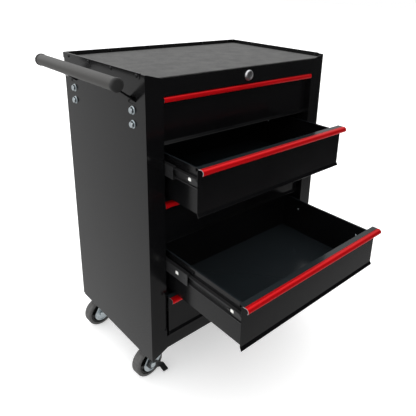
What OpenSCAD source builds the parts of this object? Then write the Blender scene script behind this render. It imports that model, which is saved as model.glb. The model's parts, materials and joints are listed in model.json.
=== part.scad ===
// Rolling tool chest with five drawers on ball-bearing slides.
// The origin is on the floor under the middle of the cabinet. +X is the viewer's right,
// the drawers open towards -Y, and +Z is up.

/* [Cabinet] */
// Width over the side panels
cabinet_w = 531; // [430:1:700]
// Depth over the front posts and the back panel
cabinet_d = 333; // [280:1:480]
// Height from the side panels' lower edge to the rim of the top
cabinet_h = 653; // [520:1:900]
// Thickness of the sheet steel
sheet = 1; // [0.8:0.1:1.5]
// Width of a front post's face
post_w = 41; // [32:1:60]
// Depth of a front post's inner return
post_return = 34; // [20:1:60]
// Height of the lock fascia above the drawers
fascia_h = 34; // [30:1:60]
// Height of the skirt under the drawers
skirt_h = 33; // [20:1:60]
// Height of the cut-out under the skirt
kick_h = 16; // [8:1:30]
// Height of the rim above the tray floor
rim_h = 11; // [6:1:20]
// Height of the rim's fold down the outside of the cabinet
fold_h = 13; // [11:1:20]
// Thickness of the mat on the top
mat_t = 2; // [1:0.5:4]
// How far the base pan hangs below the side panels
pan_drop = 5; // [3:1:12]
// Height of the base pan's flanges
pan_flange = 26; // [15:1:40]

/* [Drawers] */
// Number of drawers
drawers = 5; // [5:1:7]
// Distance from the front plane to where a drawer's floor space ends
drawer_clear_d = 275.3; // [200:1:420]
// How far a shut drawer's front lies behind the posts
recess = 15; // [4:1:22]
// How far the second drawer stands open
open_2 = 117; // [0:1:200]
// How far the fourth drawer stands open
open_4 = 246; // [0:1:250]
// How far the fifth drawer stands open
open_5 = 21; // [0:1:200]
// Share of a drawer's travel that the slide's middle member makes
mid_share = 0.36; // [0.3:0.01:0.5]
// Gap between a drawer front and the post beside it
front_gap = 1; // [0.5:0.5:3]
// Height of the drawer front over its slot's lower edge
front_lift = 9; // [6:1:14]
// Gap above a drawer's pull
pull_gap = 1; // [1:0.5:4]
// Height of the lip at the foot of a drawer front
lip_h = 8; // [6:1:14]
// How far that lip stands forward
lip_out = 4; // [4:1:10]
// How far the drawer's side walls stop below the top of its front
wall_drop = 8; // [3:1:12]
// Depth of the folded hem on top of the drawer front
hem_d = 7; // [5:1:16]
// How far the front's top stands forward to carry the pull
ledge = 6; // [4:0.5:8]
// Radius of the pull's nose
pull_r = 6.5; // [5:0.5:9]
// Depth of the pull
pull_d = 17; // [13:1:24]
// Wall of the pull
pull_wall = 1.6; // [1.2:0.1:2.5]

/* [Slides] */
// Width that a slide takes up beside the drawer
slide_t = 12.7; // [12.7:0.1:13.5]
// Length of a slide
slide_l = 270; // [200:1:400]
// Height of a slide's outer member
slide_h = 35; // [30:1:45]
// Steel of the slide members
slide_wall = 1.2; // [1:0.1:1.5]
// Distance of a slide's centre below the drawer's wall top
slide_down = 28; // [24:1:40]

/* [Handle] */
// Diameter of the grip tube
tube_d = 25; // [18:1:26]
// Diameter of its end caps
cap_d = 27; // [27:1:36]
// Length of an end cap outside the tube
cap_l = 8; // [4:1:12]
// Distance of the tube's centre from the side panel
tube_out = 54; // [45:1:80]
// Drop of the tube's centre below the rim
tube_drop = 13; // [0:1:30]
// Width of a handle arm
arm_w = 25; // [18:1:32]
// Thickness of a handle arm
arm_t = 3; // [2:0.5:5]
// Distance of an arm's centre from the cabinet's front or back
arm_in = 44.6; // [36:0.1:80]
// Drop of the arm's slot below the rim
slot_drop = 55; // [45:1:80]
// Drop of the upper handle bolt below the rim
bolt_drop = 75; // [70:1:100]
// Distance between the two bolts of an arm
bolt_pitch = 28; // [20:1:40]
// Diameter of a handle bolt
bolt_d = 8; // [6:1:10]

/* [Lock] */
// Diameter of the lock's face
lock_d = 24; // [20:1:28]
// Diameter of its barrel
barrel_d = 18; // [14:1:19]
// Diameter of the turning plug
plug_d = 13; // [10:1:13]
// How far the lock stands out of the fascia
lock_out = 5; // [3:1:8]
// Crank radius of the lock rod, which is the lift of the lock bar
crank_r = 12; // [7:0.5:12]
// Diameter of the lock rod
rod_d = 6; // [5:0.5:8]

/* [Casters] */
// Height from the floor to the base pan
caster_h = 90; // [86:1:120]
// Diameter of a wheel
wheel_d = 75; // [60:1:75]
// Width of a wheel
wheel_w = 25; // [20:1:30]
// Thickness of the rubber on the rim
tyre_t = 8; // [5:1:12]
// Distance from the swivel axis to the wheel's axle
trail = 28; // [20:1:34]
// Length of the mounting plate along X
plate_l = 66; // [60:1:80]
// Width of the mounting plate along Y
plate_w = 50; // [48:1:66]
// Thickness of the mounting plate
plate_t = 2.5; // [2:0.5:4]
// Diameter of the axle bolt
axle_d = 8; // [6:1:10]
// Distance of a swivel axis from the cabinet's side
caster_side = 55; // [50:1:90]
// Distance of a front swivel axis from the cabinet's front
caster_front = 67; // [62:1:100]
// Distance of a rear swivel axis from the cabinet's back
caster_rear = 28; // [27:1:60]

/* [Hidden] */
$fn = 64;
// Running clearance of a shaft in its hole, and the gap between parts that slide
fit = 0.05;
gap = 0.4;
// Hole clearance round a screw or bolt
hole_gap = 0.2;

side_x = cabinet_w / 2;
front_y = -cabinet_d / 2;
back_y = cabinet_d / 2;
pan_z = caster_h;
base_z = pan_z + pan_drop;
rim_z = base_z + cabinet_h;
tray_z = rim_z - rim_h;
fascia_z = tray_z - sheet - fascia_h;
skirt_z = base_z + kick_h;
skirt_top = skirt_z + skirt_h;
opening_w = cabinet_w - 2 * post_w;
pitch = (fascia_z - skirt_top) / drawers;
pan_front = front_y + post_return + 2;

// Drawer sizes, measured from the front plane (y) and the slot's lower edge (z)
box_w = opening_w - 2 * slide_t;
front_w = opening_w - 2 * front_gap;
pull_top = pitch - pull_gap;
front_top = pull_top;
wall_top = front_top - wall_drop;
box_foot = front_lift - 1;
box_d = drawer_clear_d + sheet;
slide_z = wall_top - slide_down;
slide_y = 3;
mid_h = slide_h - 8;
inner_h = slide_h - 16;
open = [for (k = [1:drawers]) k == 2 ? open_2 : k == 4 ? open_4 : k == 5 ? open_5 : 0];

// Lock bar and its hooks, from the front plane
bar_y = recess + box_d + 20;
bar_t = 2;
bar_w = 34;
hook_y = recess + box_d + 2.5;
catch_z = 52;
catch_d = 8;
catch_h = 9;
lock_z = fascia_z + fascia_h / 2 + 1;
plug_depth = 26;
guide_z = [skirt_top + 90, skirt_top + (drawers - 1) * pitch + 20];
crank_t = 3;
pin_d = 4;

// Handle
tube_x = -side_x - tube_out;
tube_z = rim_z - tube_drop;
slot_z = rim_z - slot_drop;
slot_h = 14;
arm_y = [front_y + arm_in, back_y - arm_in];
bolt_z = [rim_z - bolt_drop, rim_z - bolt_drop - bolt_pitch];
arm_foot = bolt_z[1] - 14;

// Upright that carries the rear end of the slides, in front of the rear handle arm
upright_d = 20;
upright_y = min(front_y + recess + slide_y + slide_l, arm_y[1] - arm_w / 2 - 1.5) - upright_d;

// Rim screws: their places along the two sides and along the back
screw_d = 4;
screw_head = 8;
screw_shank = 5;
screw_z = rim_z - 6;
side_screw_y = [for (i = [0:3]) front_y + 25.5 + i * (cabinet_d - 53) / 3];
back_screw_x = [for (i = [0:5]) -side_x + 25 + i * (cabinet_w - 50) / 5];

// Casters: name, swivel axis and the angle at which each wheel stands
CORNERS = ["front_left", "front_right", "rear_left", "rear_right"];
turn = [4, 8, 1, -6];
king = [
    [-side_x + caster_side, front_y + caster_front],
    [side_x - caster_side, front_y + caster_front],
    [-side_x + caster_side, back_y - caster_rear],
    [side_x - caster_side, back_y - caster_rear]
];
plate_z = pan_z - plate_t;
race_h = 4;
race_d = 42;
crown_z = plate_z - race_h - gap;
crown_t = 3;
crown_d = 46;
half_crown = crown_d / 2 - 4;
king_d = 12;
leg_t = 2.2;
leg_y = wheel_w / 2 + 2;
lobe_r = 21;
axle_z = wheel_d / 2;
brake_t = 2.5;
plate_bolt = [plate_l / 2 - 8, plate_w / 2 - 8];
plate_bolt_d = 6;

// ---- helpers -------------------------------------------------------------

// A block from its lowest corner to its highest
module block(lo, hi) {
    translate(lo) cube(hi - lo);
}

// A rod along Y from y0 to y1
module rod_y(d, y0, y1) {
    translate([0, y1, 0]) rotate([90, 0, 0]) cylinder(d = d, h = y1 - y0);
}

// A rod along X from x0 to x1
module rod_x(d, x0, x1) {
    translate([x0, 0, 0]) rotate([0, 90, 0]) cylinder(d = d, h = x1 - x0);
}

// A profile drawn in (y, z), pulled along X over the given width about the middle
module pulled_x(width) {
    translate([-width / 2, 0, 0]) rotate([90, 0, 90]) linear_extrude(width) children();
}

// A profile drawn in (x, z), pulled along Y from y0 to y1
module pulled_y(y0, y1) {
    translate([0, y1, 0]) rotate([90, 0, 0]) linear_extrude(y1 - y0) children();
}

// Both mirror images of what is drawn for the left
module both_sides() {
    children();
    mirror([1, 0, 0]) children();
}

// Height of slot k's lower edge, counted from the top drawer
function slot_floor(k) = skirt_top + (drawers - k) * pitch;

module at_drawer(k) {
    translate([0, front_y + recess - open[k - 1], slot_floor(k)]) children();
}

module at_caster(c) {
    translate([king[c][0], king[c][1], 0]) rotate([0, 0, turn[c]]) children();
}

module at_side_screws(sign) {
    for (y = side_screw_y) translate([sign * side_x, y, screw_z]) children();
}

module at_back_screws() {
    for (x = back_screw_x) translate([x, back_y, screw_z]) children();
}

module at_plate_bolts() {
    for (sx = [-1, 1], sy = [-1, 1])
        translate([sx * plate_bolt[0], sy * plate_bolt[1], 0]) children();
}

module screw_holes_x() {
    for (sign = [-1, 1])
        at_side_screws(sign) rod_x(screw_d + 2 * hole_gap, -6, 6);
}

module screw_holes_y() {
    at_back_screws() rod_y(screw_d + 2 * hole_gap, -6, 6);
}

// ---- cabinet shell -------------------------------------------------------

// Left side: side wall, front post and rear flange folded from one sheet
module side_sheet() {
    top = rim_z - sheet - gap;
    difference() {
        union() {
            block([-side_x, front_y, base_z], [-side_x + sheet, back_y, top]);
            block([-side_x, front_y, base_z], [-side_x + post_w, front_y + sheet, top]);
            block([-side_x + post_w - sheet, front_y, skirt_z],
                  [-side_x + post_w, front_y + post_return, tray_z - sheet]);
            block([-side_x, back_y - sheet, base_z], [-side_x + 16, back_y, top]);
        }
        // the foot of the post runs up to the skirt, and its head down to the tray
        pulled_y(front_y - 1, front_y + sheet + 0.01)
            polygon([[-side_x + sheet, base_z - 1], [-side_x + post_w + 1, base_z - 1],
                     [-side_x + post_w + 1, skirt_z]]);
        pulled_y(front_y - 1, front_y + sheet + 0.01)
            polygon([[-side_x + 4, top + 1], [-side_x + 4, top], [-side_x + post_w - 3, tray_z],
                     [-side_x + post_w + 1, tray_z], [-side_x + post_w + 1, top + 1]]);
        screw_holes_x();
        screw_holes_y();
    }
}

module side_left() {
    color([0.09, 0.09, 0.09]) difference() {
        side_sheet();
        for (y = arm_y) {
            block([-side_x - 1, y - arm_w / 2 - 1, slot_z - slot_h / 2],
                  [-side_x + sheet + 1, y + arm_w / 2 + 1, slot_z + slot_h / 2]);
            for (z = bolt_z)
                translate([-side_x, y, z]) rod_x(bolt_d + 2 * hole_gap, -1, sheet + 1);
        }
    }
}

module side_right() {
    color([0.09, 0.09, 0.09]) mirror([1, 0, 0]) side_sheet();
}

module back_panel() {
    in_x = side_x - sheet - fit;
    color([0.08, 0.08, 0.08]) difference() {
        block([-in_x, back_y - 2 * sheet, base_z], [in_x, back_y - sheet, tray_z - sheet - gap]);
        for (z = guide_z)
            for (sx = [-1, 1])
                translate([sx * (bar_w / 2 + 8), back_y, z]) rod_y(3.4, -4, 1);
    }
}

// Top: tray with its rim folded over the side and back walls
module top_tray() {
    out = side_x + sheet;
    in = side_x - sheet;
    start = front_y + 15;
    corner = 8;
    color([0.07, 0.07, 0.07]) difference() {
        union() {
            block([-in + fit, front_y + sheet + fit, tray_z - sheet],
                  [in - fit, back_y - sheet - fit, tray_z]);
            block([-opening_w / 2, front_y, tray_z - sheet],
                  [opening_w / 2, front_y + 2 * sheet, tray_z]);
            both_sides() {
                block([-in + fit, start, tray_z - sheet], [-in + sheet + fit, back_y - sheet, rim_z]);
                block([-out, start, rim_z - sheet], [-in + sheet, back_y + sheet, rim_z]);
                block([-out, start + corner, rim_z - fold_h], [-side_x, back_y + sheet, rim_z]);
                block([-out, start, rim_z - fold_h + corner], [-side_x, back_y, rim_z]);
                translate([0, start + corner, rim_z - fold_h + corner]) rod_x_quarter(out, corner);
            }
            block([-in, back_y - 2 * sheet - fit, tray_z - sheet], [in, back_y - sheet - fit, rim_z]);
            block([-in, back_y - 2 * sheet, rim_z - sheet], [in, back_y + sheet, rim_z]);
            block([-out, back_y, rim_z - fold_h], [out, back_y + sheet, rim_z]);
        }
        screw_holes_x();
        screw_holes_y();
    }
}

// The rounded lower corner where the rim's fold ends
module rod_x_quarter(out, r) {
    intersection() {
        rod_x(2 * r, -out, -side_x);
        block([-out, -r, -r], [-side_x, 0, 0]);
    }
}

module top_mat() {
    inset = 3;
    color([0.30, 0.30, 0.30])
        block([-side_x + 2 * sheet + inset, front_y + inset, tray_z],
              [side_x - 2 * sheet - inset, back_y - 2 * sheet - inset, tray_z + mat_t]);
}

module lock_fascia() {
    half = opening_w / 2 - fit;
    depth = 20;
    color([0.05, 0.05, 0.05]) difference() {
        union() {
            block([-half, front_y, fascia_z], [half, front_y + sheet, tray_z - sheet]);
            block([-half, front_y, fascia_z], [half, front_y + depth, fascia_z + sheet]);
            block([-half, front_y, tray_z - 2 * sheet], [half, front_y + depth, tray_z - sheet]);
        }
        translate([0, front_y, lock_z]) rod_y(barrel_d + 2 * hole_gap, -1, 3);
    }
}

module front_skirt() {
    half = opening_w / 2 - fit;
    color([0.09, 0.09, 0.09]) {
        block([-half, front_y, skirt_z], [half, front_y + sheet, skirt_top]);
        block([-half, front_y, skirt_top - sheet], [half, front_y + post_return, skirt_top]);
        block([-half, front_y, skirt_z], [half, front_y + 12, skirt_z + sheet]);
    }
}

// Base pan: floor that the casters bolt to, with flanges inside the side panels
module base_pan() {
    in = side_x - sheet - fit;
    rear = back_y - 2 * sheet - fit;
    color([0.07, 0.07, 0.07]) difference() {
        union() {
            block([-in, pan_front, pan_z], [in, rear, pan_z + sheet]);
            both_sides()
                block([-in, front_y + 12, pan_z], [-in + sheet, rear, pan_z + pan_flange]);
            block([-in, pan_front, pan_z], [in, pan_front + sheet, pan_z + pan_flange]);
            block([-in, rear - sheet, pan_z], [in, rear, pan_z + pan_flange]);
        }
        for (c = [0:3]) translate([king[c][0], king[c][1], pan_z])
            at_plate_bolts() translate([0, 0, -1]) cylinder(d = plate_bolt_d + 2 * hole_gap, h = sheet + 2);
    }
}

// Channels that the slides screw to at their rear ends
module rear_uprights() {
    foot = pan_z + sheet;
    head = tray_z - sheet - gap;
    wall = opening_w / 2;
    color([0.07, 0.07, 0.07]) both_sides() {
        block([-wall - sheet, upright_y, foot], [-wall, upright_y + upright_d, head]);
        block([-side_x + 2 * sheet + 2 * fit, upright_y, foot], [-wall, upright_y + sheet, head]);
        block([-side_x + 2 * sheet + 2 * fit, upright_y, foot],
              [-side_x + 3 * sheet + 2 * fit, upright_y + upright_d, head]);
    }
}

// Self-tapping screws through the rim's fold: a domed head and a shank
module rim_screw() {
    dome_h = screw_head / 4;
    rotate_extrude() {
        square([screw_d / 2, screw_shank + 0.01]);
        intersection() {
            translate([0, screw_shank]) scale([1, dome_h * 2 / screw_head]) circle(d = screw_head);
            translate([0, screw_shank]) square([screw_head, dome_h + 1]);
        }
    }
}

module rim_screws() {
    color([0.12, 0.12, 0.12]) {
        at_side_screws(-1) rotate([0, -90, 0]) translate([0, 0, sheet - screw_shank]) rim_screw();
        at_side_screws(1) rotate([0, 90, 0]) translate([0, 0, sheet - screw_shank]) rim_screw();
        at_back_screws() rotate([-90, 0, 0]) translate([0, 0, sheet - screw_shank]) rim_screw();
    }
}

// ---- slides --------------------------------------------------------------

// One C-shaped member for the left side: web at u, lips to u + depth, in (x, z)
module slide_c(web_u, depth, height, wall, lips_to_drawer) {
    x0 = -opening_w / 2 + web_u;
    lip = lips_to_drawer ? [x0, x0 + depth] : [x0 + wall - depth, x0 + wall];
    polygon_c = [
        [lip[0], -height / 2], [lip[1], -height / 2], [lip[1], height / 2], [lip[0], height / 2]
    ];
    open_x = lips_to_drawer ? [x0 + wall, x0 + depth + 1] : [x0 + wall - depth - 1, x0];
    difference() {
        polygon(polygon_c);
        translate([open_x[0], -height / 2 + wall])
            square([open_x[1] - open_x[0], height - 2 * wall]);
    }
}

module slide_outers() {
    color([0.10, 0.10, 0.10]) both_sides()
        for (k = [1:drawers])
            translate([0, front_y + recess, slot_floor(k) + slide_z])
                pulled_y(slide_y, slide_y + slide_l)
                    slide_c(0, 9.5, slide_h, slide_wall, true);
}

module slide_mid(k) {
    color([0.13, 0.13, 0.13]) both_sides()
        translate([0, front_y + recess - open[k - 1] * mid_share, slot_floor(k) + slide_z])
            pulled_y(slide_y, slide_y + slide_l)
                slide_c(slide_wall + 1, slide_t - 4, mid_h, slide_wall, true);
}

module slide_inner(k) {
    color([0.12, 0.12, 0.12]) both_sides() at_drawer(k)
        translate([0, 0, slide_z]) pulled_y(slide_y, box_d)
            slide_c(slide_t - slide_wall, slide_t - 5, inner_h, slide_wall, false);
}

// ---- drawers -------------------------------------------------------------

// Front sheet from the hem behind its top edge to the lip at its foot, in (y, z)
module front_profile() {
    foot = front_lift;
    bead = 2.6;
    polygon([
        [0, foot + lip_h], [sheet, foot + lip_h - 0.4], [sheet - lip_out + bead / 2, foot + bead],
        [bead * 0.7 - lip_out, foot], [bead * 0.3 - lip_out, foot], [-lip_out, foot + bead * 0.3],
        [-lip_out, foot + bead * 0.7], [0.6 - lip_out, foot + bead]
    ]);
    translate([0, foot + lip_h - 0.4]) square([sheet, front_top - foot - lip_h + 0.4]);
    translate([-ledge, front_top - sheet]) square([ledge + hem_d, sheet]);
    translate([hem_d - sheet, wall_top - 0.5]) square([sheet, wall_drop + 0.5]);
}

// Drawer: welded box, its front and the catch for the lock bar
module drawer(k) {
    x = box_w / 2;
    color([0.08, 0.08, 0.08]) at_drawer(k) {
        pulled_x(front_w) front_profile();
        block([-x, sheet / 2, box_foot], [x, box_d, box_foot + sheet]);
        block([-x, box_d - sheet, box_foot], [x, box_d, wall_top]);
        both_sides() {
            block([-x, sheet / 2, box_foot], [-x + sheet, box_d, wall_top]);
            block([-x, hem_d, wall_top - sheet], [-x + 4, box_d, wall_top]);
        }
        block([-12, box_d - sheet, catch_z + catch_h - 1.5], [12, box_d + catch_d, catch_z + catch_h]);
        block([-12, box_d + catch_d - 1.5, catch_z], [12, box_d + catch_d, catch_z + catch_h]);
    }
}

// Pull: extruded section in (y, z), a tongue under the front's ledge and a round nose
module pull_profile() {
    tongue_l = 4;
    tongue_t = 1.4;
    curl = 225;
    steps = 15;
    nose = [pull_r - pull_d, front_top - pull_r];
    ri = pull_r - pull_wall;
    under = front_top - sheet;
    outer = [for (i = [0:steps]) let (a = 90 + (curl - 90) * i / steps)
        nose + pull_r * [cos(a), sin(a)]];
    inner = [for (i = [steps:-1:0]) let (a = 90 + (curl - 90) * i / steps)
        nose + ri * [cos(a), sin(a)]];
    polygon(concat(
        [[tongue_l - ledge, under - tongue_t], [tongue_l - ledge, under], [-ledge, under],
         [-ledge, front_top]], outer,
        inner, [[-ledge - 1.4, front_top - pull_wall], [-ledge - 0.6, under - tongue_t]]
    ));
}

module pull(k) {
    color([0.80, 0.05, 0.06]) at_drawer(k) pulled_x(front_w) pull_profile();
}

// ---- handle --------------------------------------------------------------

module handle_tube() {
    wall = 1.5;
    color([0.33, 0.32, 0.31]) translate([tube_x, 0, tube_z]) difference() {
        rod_y(tube_d, front_y + cap_l, back_y - cap_l);
        rod_y(tube_d - 2 * wall, front_y, back_y);
    }
}

// End caps: a domed head outside and a plug inside the tube
module handle_caps() {
    plug = tube_d - 3 - 2 * hole_gap;
    color([0.10, 0.10, 0.10]) for (side = [0, 1]) translate([tube_x, 0, tube_z])
        mirror([0, side, 0]) translate([0, front_y, 0]) rotate([-90, 0, 0]) rotate_extrude()
            union() {
                translate([0, cap_l - 0.01]) square([plug / 2, 12]);
                translate([0, 3]) square([cap_d / 2, cap_l - 3]);
                intersection() {
                    translate([0, 3]) scale([1, 3 / (cap_d / 2)]) circle(d = cap_d);
                    square([cap_d / 2, 3.01]);
                }
            }
}

// Arm: flat strip bolted inside the side panel, out through its slot and up to the tube
module arm_profile() {
    x0 = -side_x + sheet;
    run = tube_out + sheet + arm_t;
    rise = tube_z - slot_z;
    polygon([
        [x0, arm_foot], [x0 + arm_t, arm_foot], [x0 + arm_t, slot_z],
        [x0 + arm_t - run, slot_z + rise], [x0 - run, slot_z + rise - 2],
        [x0, slot_z - arm_t]
    ]);
}

module handle_arms() {
    color([0.06, 0.06, 0.06]) difference() {
        for (y = arm_y) pulled_y(y - arm_w / 2, y + arm_w / 2) arm_profile();
        translate([tube_x, 0, tube_z]) rod_y(tube_d, front_y, back_y);
        for (y = arm_y, z = bolt_z)
            translate([-side_x, y, z]) rod_x(bolt_d + 2 * hole_gap, -1, sheet + arm_t + 1);
    }
}

// Flanged hexagon bolts with their nuts
module handle_bolts() {
    flange = 17;
    color([0.75, 0.77, 0.80]) for (y = arm_y, z = bolt_z) translate([-side_x, y, z]) {
        rod_x(flange, -1.4, 0);
        translate([-6, 0, 0]) rotate([0, 90, 0]) cylinder(d = 13.5, h = 5, $fn = 6);
        rod_x(bolt_d, -1, sheet + arm_t + 10);
        difference() {
            translate([sheet + arm_t, 0, 0]) rotate([0, 90, 0]) cylinder(d = 14.5, h = 6.5, $fn = 6);
            rod_x(bolt_d + 2 * fit, 0, 20);
        }
    }
}

// ---- lock ----------------------------------------------------------------

// Threaded barrel with its bezel, and the nut behind the fascia
module lock_housing() {
    nut_d = barrel_d + 8;
    color([0.80, 0.81, 0.82]) translate([0, front_y, lock_z]) {
        difference() {
            union() {
                rod_y(lock_d, -lock_out, 0);
                rod_y(barrel_d, -1, plug_depth - 4);
            }
            rod_y(plug_d + 2 * fit, -lock_out - 1, plug_depth);
        }
        difference() {
            translate([0, sheet + 5, 0]) rotate([90, 0, 0]) cylinder(d = nut_d, h = 5, $fn = 6);
            rod_y(barrel_d + 2 * fit, 0, 10);
        }
    }
}

// Plug with its key slot
module lock_plug() {
    color([0.70, 0.71, 0.72]) translate([0, front_y, lock_z]) difference() {
        rod_y(plug_d, -lock_out + 0.5, plug_depth);
        block([-1, -lock_out - 1, -4], [1, 8, 4]);
    }
}

// Rod that carries the plug's turn to the crank behind the drawers
module lock_rod() {
    end = bar_y - crank_t - 1;
    crank_hub = 14;
    crank_w = 8;
    color([0.60, 0.61, 0.62]) translate([0, front_y, lock_z]) {
        rod_y(rod_d, plug_depth, end);
        rod_y(crank_hub, end, end + crank_t);
        block([-crank_w / 2, end, -crank_r], [crank_w / 2, end + crank_t, 0]);
        translate([0, 0, -crank_r]) {
            rod_y(crank_w, end, end + crank_t);
            rod_y(pin_d, end, bar_y + bar_t + 4);
        }
    }
}

// Bar that the crank's pin lifts, with one hook for each drawer
module lock_bar() {
    w = bar_w / 2;
    pin_z = lock_z - crank_r;
    // the slot leaves room for the pin's arc on either side of an even lift
    arc_share = 0.211;
    slot_r = pin_d / 2 + crank_r * arc_share + gap;
    head = pin_z + slot_r + 4;
    foot = slot_floor(drawers) + catch_z - 30;
    color([0.45, 0.46, 0.47]) translate([0, front_y, 0]) {
        difference() {
            block([-w, bar_y, foot], [w, bar_y + bar_t, head]);
            block([-crank_r - pin_d / 2 - gap, bar_y - 1, pin_z - slot_r],
                  [pin_d / 2 + gap, bar_y + bar_t + 1, pin_z + slot_r]);
        }
        for (k = [1:drawers]) translate([0, 0, slot_floor(k) + catch_z]) {
            block([-10, hook_y, -16.5], [10, bar_y, -14.5]);
            block([-10, hook_y, -16.5], [10, hook_y + 2, -6.5]);
        }
    }
}

// Clips riveted to the back panel, round the lock bar's edges
module lock_guides() {
    w = bar_w / 2;
    y0 = front_y + bar_y;
    wall = 1.5;
    color([0.40, 0.41, 0.42]) for (z = guide_z) {
        both_sides() {
            block([-w - 14, back_y - 2 * sheet - wall, z - 8], [-w - gap, back_y - 2 * sheet, z + 8]);
            block([-w - gap - wall, y0 - gap - wall, z - 8], [-w - gap, back_y - 2 * sheet, z + 8]);
            block([-w - gap - wall, y0 - gap - wall, z - 8], [-w + 4, y0 - gap, z + 8]);
            translate([-w - 8, back_y, z]) rod_y(3, -2 * sheet - wall - 1.4, -sheet - 0.2);
        }
    }
}

// ---- casters -------------------------------------------------------------

// Plates with the upper ball race and the kingpin
module caster_plates() {
    low = wheel_d + 1;
    color([0.66, 0.70, 0.74]) for (c = [0:3]) translate([king[c][0], king[c][1], 0]) {
        difference() {
            translate([-plate_l / 2, -plate_w / 2, plate_z]) cube([plate_l, plate_w, plate_t]);
            at_plate_bolts() translate([0, 0, plate_z - 1]) cylinder(d = plate_bolt_d + 2 * hole_gap, h = 9);
        }
        translate([0, 0, plate_z - race_h]) cylinder(d = race_d, h = race_h);
        translate([0, 0, low]) cylinder(d = king_d, h = plate_z - low);
        translate([0, 0, low]) cylinder(d = king_d + 5, h = 2);
    }
}

// Bolts through plate and pan, with their nuts inside the pan
module caster_bolts() {
    color([0.72, 0.74, 0.77]) for (c = [0:3]) translate([king[c][0], king[c][1], 0])
        at_plate_bolts() {
            translate([0, 0, plate_z - 3]) cylinder(d = 11, h = 3, $fn = 6);
            translate([0, 0, plate_z - 1]) cylinder(d = plate_bolt_d, h = plate_t + sheet + 8);
            difference() {
                translate([0, 0, pan_z + sheet]) cylinder(d = 11.5, h = 5, $fn = 6);
                translate([0, 0, pan_z]) cylinder(d = plate_bolt_d + 2 * fit, h = 12);
            }
        }
}

// Outline of a fork leg in (x, z): from the crown down to a lobe round the axle
module leg_outline() {
    half = crown_d / 2;
    polygon([
        [-half, crown_z], [half - 4, crown_z], [half - 6, crown_z - 14],
        [-trail + lobe_r * 0.94, axle_z - lobe_r * 0.34],
        [-trail, axle_z], [-trail - lobe_r * 0.98, axle_z + lobe_r * 0.17]
    ]);
    translate([-trail, axle_z]) circle(r = lobe_r);
}

module fork(c) {
    color([0.66, 0.71, 0.75]) at_caster(c) difference() {
        union() {
            translate([0, 0, crown_z - crown_t]) cylinder(d = crown_d, h = crown_t);
            block([-half_crown, -leg_y - leg_t, crown_z - crown_t], [half_crown, leg_y + leg_t, crown_z]);
            for (side = [0, 1]) mirror([0, side, 0])
                pulled_y(-leg_y - leg_t, -leg_y) leg_outline();
        }
        cylinder(d = king_d + 2 * fit, h = caster_h);
        translate([-trail, 0, axle_z]) rod_y(axle_d + 2 * fit, -40, 40);
    }
}

module hub(c) {
    hub_d = wheel_d - 2 * tyre_t;
    color([0.05, 0.05, 0.05]) at_caster(c) translate([-trail, 0, axle_z]) difference() {
        union() {
            rod_y(hub_d, -wheel_w / 2 + 3, wheel_w / 2 - 3);
            rod_y(22, -wheel_w / 2 - 1, wheel_w / 2 + 1);
        }
        rod_y(axle_d + 2 * fit, -wheel_w, wheel_w);
    }
}

// Rubber tread with rounded shoulders
module tyre(c) {
    r = 3;
    w = wheel_w / 2;
    color([0.20, 0.20, 0.20]) at_caster(c) translate([-trail, 0, axle_z])
        rotate([90, 0, 0]) rotate_extrude() {
            translate([wheel_d / 2 - tyre_t, -w]) square([tyre_t - r, 2 * w]);
            translate([wheel_d / 2 - tyre_t, -w + r]) square([tyre_t, 2 * w - 2 * r]);
            for (z = [-w + r, w - r]) translate([wheel_d / 2 - r, z]) circle(r = r);
        }
}

// Axle bolt and its nut; on a braked caster the lever sits under the bolt's head
module axle(c) {
    near = leg_y + leg_t + (c < 2 ? brake_t + gap : 0);
    far = leg_y + leg_t;
    color([0.72, 0.74, 0.77]) at_caster(c) translate([-trail, 0, axle_z]) {
        rod_y(axle_d, -near - 1, far + 8);
        translate([0, -near, 0]) rotate([90, 0, 0]) cylinder(d = 14, h = 5, $fn = 6);
        difference() {
            translate([0, far + 6, 0]) rotate([90, 0, 0]) cylinder(d = 14, h = 6, $fn = 6);
            rod_y(axle_d + 2 * fit, 0, 30);
        }
    }
}

// Side brake: a lever on the axle with a foot tab bent outwards
module brake(c) {
    y1 = -leg_y - leg_t - gap / 2;
    y0 = y1 - brake_t;
    tab_l = 16;
    color([0.08, 0.08, 0.08]) at_caster(c) translate([-trail, 0, axle_z]) difference() {
        union() {
            rod_y(24, y0, y1);
            pulled_y(y0, y1) polygon([[2, 11], [11, 2], [35, -18], [28, -26], [-4, -11]]);
            pulled_x_at(22, 36) polygon([
                [y1, -19], [y0 - tab_l, -26], [y0 - tab_l, -28.5], [y1, -22]
            ]);
        }
        rod_y(axle_d + 2 * fit, -40, 40);
    }
}

module pulled_x_at(x0, x1) {
    translate([(x0 + x1) / 2, 0, 0]) pulled_x(x1 - x0) children();
}

// ---- what each node draws ------------------------------------------------

side_left();
side_right();
back_panel();
top_tray();
top_mat();
lock_fascia();
front_skirt();
base_pan();
rear_uprights();
rim_screws();
slide_outers();
handle_tube();
handle_caps();
handle_arms();
handle_bolts();
lock_housing();
lock_guides();
lock_plug();
lock_rod();
lock_bar();
caster_plates();
caster_bolts();
brake(0);  // brake_front_left
brake(1);  // brake_front_right
for (k = [1:drawers]) {
    drawer(k);
    pull(k);
    slide_inner(k);
    slide_mid(k);
}
for (c = [0:3]) {
    fork(c);
    hub(c);
    tyre(c);
    axle(c);
}
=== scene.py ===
import bmesh
import bpy
import json
import math
from mathutils import Matrix, Vector


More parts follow.
